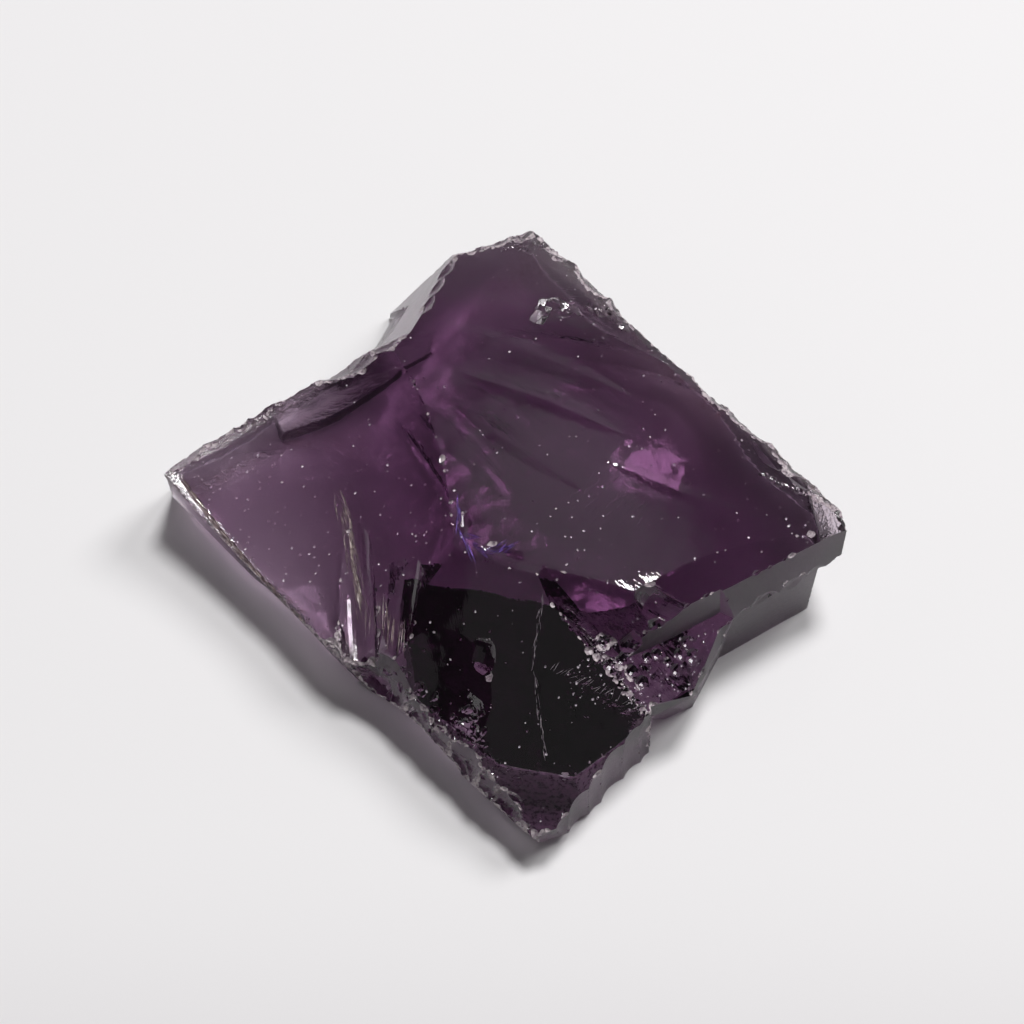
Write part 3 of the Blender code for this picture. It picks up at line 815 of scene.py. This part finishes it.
def glint_dents(top_at):
    """The glinting dents, as lumps."""
    rng = random.Random(GLINT_SEED)
    for glints in GLINTS:
        for number in range(glints.count):
            place, heading = along_path(glints.path, (number + rng.random()) / glints.count)
            place += Vector((-math.sin(heading), math.cos(heading))) * rng.uniform(-1, 1) * glints.spread
            hit = top_at(*place)
            if hit:
                size = rng.uniform(*glints.sizes)
                at = hit[0] + hit[1] * size * GLINT_FLATNESS * GLINT_SINK
                yield [at], size * GLINT_REACH, flake_mesh(at, hit[1], size, GLINT_FLATNESS, rng, 2)


def mark_stone(stone):
    carve_lumps(stone, glint_dents(top_of(stone)))
    for streak in PLATE_STREAKS:
        carve_lumps(stone, [streak_groove(streak, top_of(stone))])
    for sheaf in SHEAVES.values():
        carve_lumps(stone, sheaf_grooves(sheaf, top_of(stone)), sheaf.colour)


def wear_stone(stone):
    carve_lumps(stone, edge_flakes(stone.data, FLAKE_SEED, 1.0))
    carve_lumps(stone, edge_flakes(stone.data, GRAIN_SEED, GRAIN_SHARE), GRAIN_BRUISE)
    carve_lumps(stone, face_specks(stone.data, SPECK_SEED, SPECK_COUNT))
    # Pale dots: dust, and painted glints in place of glinting pits.
    carve_lumps(stone, face_specks(stone.data, DOT_SEED, DOT_COUNT), DOT_DUST_AND_GLINT_COLOUR)


def add_slab():
    bpy.ops.mesh.primitive_cube_add(size=1, location=(0, 0, SLAB_HEIGHT / 2 * MM))
    slab = bpy.context.object
    slab.scale = (SLAB_SIDE * MM, SLAB_SIDE * MM, SLAB_HEIGHT * MM)
    bpy.ops.object.transform_apply(location=True, rotation=False, scale=True)
    return slab


def add_frost(mesh):
    """A point attribute, frost, from 0 on a clear face to about 1 on the most worn edges."""
    frost = [wear_at(v.co.x / MM + PLAN_CENTRE.x, v.co.y / MM + PLAN_CENTRE.y)[1] for v in mesh.vertices]
    attribute = mesh.attributes.new("frost", "FLOAT", "POINT")
    attribute.data.foreach_set("value", frost)


# ---------------------------------------------------------------------------------------------------------
# The material.

CRYSTAL_IOR = 1.62
ABSORPTION_COLOUR = (0.36, 0.10, 0.34, 1.0)
ABSORPTION_DENSITY = 162.0
CLEAR_COLOUR = (0.98, 0.97, 0.98, 1.0)
DUSTY_COLOUR = (0.62, 0.50, 0.40, 1.0)
BASE_ROUGHNESS = 0.012
STREAK_ROUGHNESS = 0.03
PATCH_ROUGHNESS = 0.02
STEEP_ROUGHNESS = 0.45
UNDERSIDE_ROUGHNESS = 0.16
FROST_ROUGHNESS = 0.22
FINE_BUMP, SWELL_BUMP, STEEP_BUMP, FROST_BUMP = 0.010, 0.05, 0.08, 0.20
MOTTLE_SHADE = (0.35, 0.30, 0.36)
MOTTLE_ROUGHNESS = (0.25, 0.55)


class Graph:
    """Short names for the few kinds of node that the materials and the world are wired from."""

    def __init__(self, material):
        self.nodes, self.links = material.node_tree.nodes, material.node_tree.links

    def put(self, kind, sockets=(), output=0, **settings):
        """One output of a new node, whose sockets are linked or set, and whose settings are set."""
        node = self.nodes.new("ShaderNode" + kind)
        for name, value in settings.items():
            setattr(node, name, value)
        for name, value in dict(sockets).items():
            if isinstance(value, bpy.types.NodeSocket):
                self.links.new(value, node.inputs[name])
            else:
                node.inputs[name].default_value = value
        return node.outputs[output]

    def axis(self, vector, name):
        return self.put("SeparateXYZ", {0: vector}, output=name)

    def millimetres(self):
        """The place on the object, in millimetres."""
        place = self.put("TexCoord", output="Object")
        return self.put("VectorMath", {0: place, 1: (1 / MM,) * 3}, operation="MULTIPLY")

    def attribute(self, name, output):
        return self.put("Attribute", output=output, attribute_name=name)

    def math(self, operation, first, second=0.0, clamp=False):
        return self.put("Math", {0: first, 1: second}, operation=operation, use_clamp=clamp)

    def ramp(self, value, low, high, out_low=0.0, out_high=1.0):
        """value from low to high, smoothly turned to out_low to out_high."""
        sockets = {"Value": value, "From Min": low, "From Max": high, "To Min": out_low, "To Max": out_high}
        return self.put("MapRange", sockets, interpolation_type="SMOOTHSTEP")

    def blend(self, share, first, second):
        node = self.nodes.new("ShaderNodeMix")
        node.data_type = "RGBA"
        self.links.new(share, node.inputs[0])
        for index, colour in ((6, first), (7, second)):
            if isinstance(colour, bpy.types.NodeSocket):
                self.links.new(colour, node.inputs[index])
            else:
                node.inputs[index].default_value = colour
        return node.outputs[2]

    def noise(self, vector, scale, detail=2.0, roughness=0.5):
        sockets = {"Vector": vector, "Scale": scale, "Detail": detail, "Roughness": roughness}
        return self.put("TexNoise", sockets)


def crystal_material():
    material = bpy.data.materials.new("clear_purple_crystal")
    material.use_nodes = True
    graph = Graph(material)
    shader = graph.nodes["Principled BSDF"]
    shader.inputs["Transmission Weight"].default_value = 1.0
    shader.inputs["IOR"].default_value = CRYSTAL_IOR
    absorption = graph.nodes.new("ShaderNodeVolumeAbsorption")
    absorption.inputs["Color"].default_value = ABSORPTION_COLOUR
    absorption.inputs["Density"].default_value = ABSORPTION_DENSITY
    graph.links.new(absorption.outputs["Volume"], graph.nodes["Material Output"].inputs["Volume"])

    place = graph.millimetres()
    upward = graph.axis(graph.put("NewGeometry", output="Normal"), "Z")
    steep = graph.ramp(graph.math("ABSOLUTE", upward), 0.62, 0.30)
    top = graph.ramp(upward, 0.75, 0.92)
    frost = graph.attribute("frost", "Fac")

    # The streaks that fan out over the broad plate from its back left corner.
    run_x = graph.math("SUBTRACT", graph.axis(place, "X"), FLUTE_ORIGIN.x - PLAN_CENTRE.x)
    run_y = graph.math("SUBTRACT", graph.axis(place, "Y"), FLUTE_ORIGIN.y - PLAN_CENTRE.y)
    turn = graph.math("ARCTAN2", run_y, run_x)
    run = graph.put("CombineXYZ", {"X": run_x, "Y": run_y})
    reach = graph.put("VectorMath", {0: run}, output="Value", operation="LENGTH")
    turn, reach = graph.math("MULTIPLY", turn, 9.0), graph.math("MULTIPLY", reach, 0.07)
    fan = graph.put("CombineXYZ", {"X": turn, "Y": reach})
    streaks = graph.ramp(graph.noise(fan, 1.6, 3.0, 0.6), 0.50, 0.68)
    streaks = graph.math("MULTIPLY", streaks, top)

    grain = graph.noise(place, 2.6, 3.0, 0.65)
    patches = graph.ramp(graph.noise(place, 0.22, 1.0), 0.42, 0.66)
    roughness = graph.put(
        "Math", {0: streaks, 1: STREAK_ROUGHNESS, 2: BASE_ROUGHNESS}, operation="MULTIPLY_ADD")
    roughness = graph.math("ADD", roughness, graph.math("MULTIPLY", patches, PATCH_ROUGHNESS))
    roughness = graph.math("ADD", roughness, graph.math("MULTIPLY", steep, STEEP_ROUGHNESS))
    underside = graph.ramp(upward, -0.80, -0.95, 0.0, UNDERSIDE_ROUGHNESS)
    roughness = graph.math("ADD", roughness, underside)
    frosted = graph.math("MULTIPLY", frost, FROST_ROUGHNESS)
    roughness = graph.math("ADD", roughness, frosted, clamp=True)
    graph.links.new(roughness, shader.inputs["Roughness"])

    dust = graph.math("MULTIPLY", frost, graph.ramp(grain, 0.45, 0.62))
    graph.links.new(graph.blend(dust, CLEAR_COLOUR, DUSTY_COLOUR), shader.inputs["Base Color"])

    fine = graph.math("MULTIPLY", graph.noise(fan, 14.0, 1.5, 0.7), FINE_BUMP)
    swell = graph.math("MULTIPLY", graph.noise(place, 0.5, 1.0), SWELL_BUMP)
    steep_bump = graph.math("MULTIPLY", steep, STEEP_BUMP)
    frost_bump = graph.math("MULTIPLY", frost, FROST_BUMP)
    rough_break = graph.math("MULTIPLY", grain, graph.math("ADD", steep_bump, frost_bump))
    height = graph.math("ADD", graph.math("ADD", fine, swell), rough_break)
    bump = graph.put("Bump", {"Height": height, "Strength": 1.0, "Distance": MM})
    graph.links.new(bump, shader.inputs["Normal"])
    return material


def mark_and_light_material():
    """Opaque, dull and clouded, in the colour that each cut gives: crushed stone and crack marks, and painted
    shade, highlights, glints and reflections.
    """
    material = bpy.data.materials.new("crystal_marks_and_painted_light")
    material.use_nodes = True
    graph = Graph(material)
    shader = graph.nodes["Principled BSDF"]
    shader.inputs["IOR"].default_value = CRYSTAL_IOR
    mark_and_light_colour = graph.attribute("mark_and_light_colour", "Color")
    clouds = graph.ramp(graph.noise(graph.millimetres(), 3.0, 4.0, 0.6), 0.35, 0.65)
    dim = graph.put("VectorMath", {0: mark_and_light_colour, 1: MOTTLE_SHADE}, operation="MULTIPLY")
    graph.links.new(graph.blend(clouds, dim, mark_and_light_colour), shader.inputs["Base Color"])
    graph.links.new(graph.ramp(clouds, 0.0, 1.0, *MOTTLE_ROUGHNESS), shader.inputs["Roughness"])
    return material


# ---------------------------------------------------------------------------------------------------------
# The stage, the light and the camera.

CAMERA_AIM = Vector((0.0, 0.0, 6.0))
CAMERA_ELEVATION = 60.0
CAMERA_DISTANCE = 214.0
LENS, SENSOR_WIDTH, CLIP_START = 100, 36, 0.01
FLOOR_SIDE, FLOOR_DROP = 1.6, 0.00005
FLOOR_COLOUR = (0.86, 0.845, 0.853, 1.0)
# The floor's colour darkens towards the front: painted shade for the light's falloff.
FLOOR_PAINTED_SHADE_COLOUR = (0.57, 0.54, 0.56, 1.0)
FLOOR_PAINTED_SHADE_RANGE = (-0.022, -0.080)
FLOOR_ROUGHNESS, FLOOR_SPECULAR = 0.8, 0.1
ROOM_LIGHT = 0.04

# A soft halo of light about one direction, from its rim in to its core.
HALO_AZIMUTH, HALO_ELEVATION = 84, 55
HALO_RIM, HALO_CORE = 18, 2
HALO_LIGHT = 0.5

# Each light: its azimuth and elevation, its distance and width in metres, and its radiance.
Softbox = namedtuple("Softbox", "azimuth elevation distance width radiance")
SOFTBOXES = {
    "top_key": Softbox(62, 68, 1.2, 0.32, 38.5),
    "side_key": Softbox(30, 46, 1.2, 0.46, 11.0),
    "left_window": Softbox(-170, 30, 1.2, 0.2, 1.0),
    "low_back": Softbox(88, 20, 1.2, 0.5, 0.25),
    "front_fill": Softbox(-100, 48, 1.2, 1.5, 0.14),
}
LIGHT_TARGET = Vector((0, 0, 0.005))


def look_at(thing, place, target):
    thing.location = place
    thing.rotation_euler = (target - place).to_track_quat("-Z", "Y").to_euler()


def toward(azimuth, elevation):
    """The direction, of length 1, from the stone to an azimuth and elevation."""
    turn, rise = math.radians(azimuth), math.radians(elevation)
    return Vector((math.cos(rise) * math.cos(turn), math.cos(rise) * math.sin(turn), math.sin(rise)))


def add_softbox(name, softbox):
    data = bpy.data.lights.new(name, "AREA")
    data.shape = "DISK"
    data.size = softbox.width
    data.energy = softbox.radiance * math.pi * math.pi * (softbox.width / 2) ** 2
    light = bpy.data.objects.new(name, data)
    bpy.context.scene.collection.objects.link(light)
    look_at(light, toward(softbox.azimuth, softbox.elevation) * softbox.distance, LIGHT_TARGET)


def add_floor():
    bpy.ops.mesh.primitive_plane_add(size=FLOOR_SIDE, location=(0, 0, -FLOOR_DROP))
    floor = bpy.context.object
    floor.name = "floor"
    material = bpy.data.materials.new("pale_floor")
    material.use_nodes = True
    graph = Graph(material)
    shader = graph.nodes["Principled BSDF"]
    # Painted shade: the floor's colour darkens towards the front.
    painted_falloff = graph.ramp(graph.axis(graph.put("TexCoord", output="Object"), "Y"), *FLOOR_PAINTED_SHADE_RANGE)
    graph.links.new(graph.blend(painted_falloff, FLOOR_COLOUR, FLOOR_PAINTED_SHADE_COLOUR), shader.inputs["Base Color"])
    shader.inputs["Roughness"].default_value = FLOOR_ROUGHNESS
    shader.inputs["Specular IOR Level"].default_value = FLOOR_SPECULAR
    floor.data.materials.append(material)


def add_light():
    world = bpy.data.worlds.new("room")
    world.use_nodes = True
    graph = Graph(world)
    sockets = {0: graph.put("TexCoord"), 1: toward(HALO_AZIMUTH, HALO_ELEVATION)}
    closeness = graph.put("VectorMath", sockets, output="Value", operation="DOT_PRODUCT")
    rim, core = (math.cos(math.radians(angle)) for angle in (HALO_RIM, HALO_CORE))
    background = graph.nodes["Background"]
    background.inputs["Color"].default_value = (1, 1, 1, 1)
    graph.links.new(graph.ramp(closeness, rim, core, ROOM_LIGHT, HALO_LIGHT), background.inputs["Strength"])
    bpy.context.scene.world = world
    for name, softbox in SOFTBOXES.items():
        add_softbox(name, softbox)


def add_camera():
    data = bpy.data.cameras.new("camera")
    data.lens = LENS
    data.sensor_width = SENSOR_WIDTH
    data.clip_start = CLIP_START
    camera = bpy.data.objects.new("camera", data)
    bpy.context.scene.collection.objects.link(camera)
    rise = math.radians(CAMERA_ELEVATION)
    aim = (CAMERA_AIM - PLAN_CENTRE) * MM
    place = aim + Vector((0, -math.cos(rise), math.sin(rise))) * CAMERA_DISTANCE * MM
    look_at(camera, place, aim)
    bpy.context.scene.camera = camera


def build_stone():
    stone = add_slab()
    stone.name = "rough_stone"
    stone.data.materials.append(crystal_material())
    stone.data.materials.append(mark_and_light_material())
    stone.data.attributes.new("mark_and_light_colour", "FLOAT_COLOR", "CORNER")
    cut_faces(stone, FLANK_CUTS)
    cut_faces(stone, TOP_CUTS)
    cut_faces(stone, UNDERSIDE_CUTS)
    # The front underscar's walls and lips take an opaque colour of painted shade.
    cut_faces(stone, PAINTED_SHADE_CUTS, PAINTED_SHADE_COLOUR)
    cut_bites(stone)
    trim(stone, cad_box)
    wear_stone(stone)
    mark_stone(stone)
    add_frost(stone.data)
    stone.data.shade_smooth()
    stone.data.set_sharp_from_angle(angle=math.radians(CREASE))
    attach(stone, "root")
    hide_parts("alexandrite")


bpy.context.scene.view_settings.view_transform = "Standard"
build_stone()
add_floor()
add_light()
add_camera()
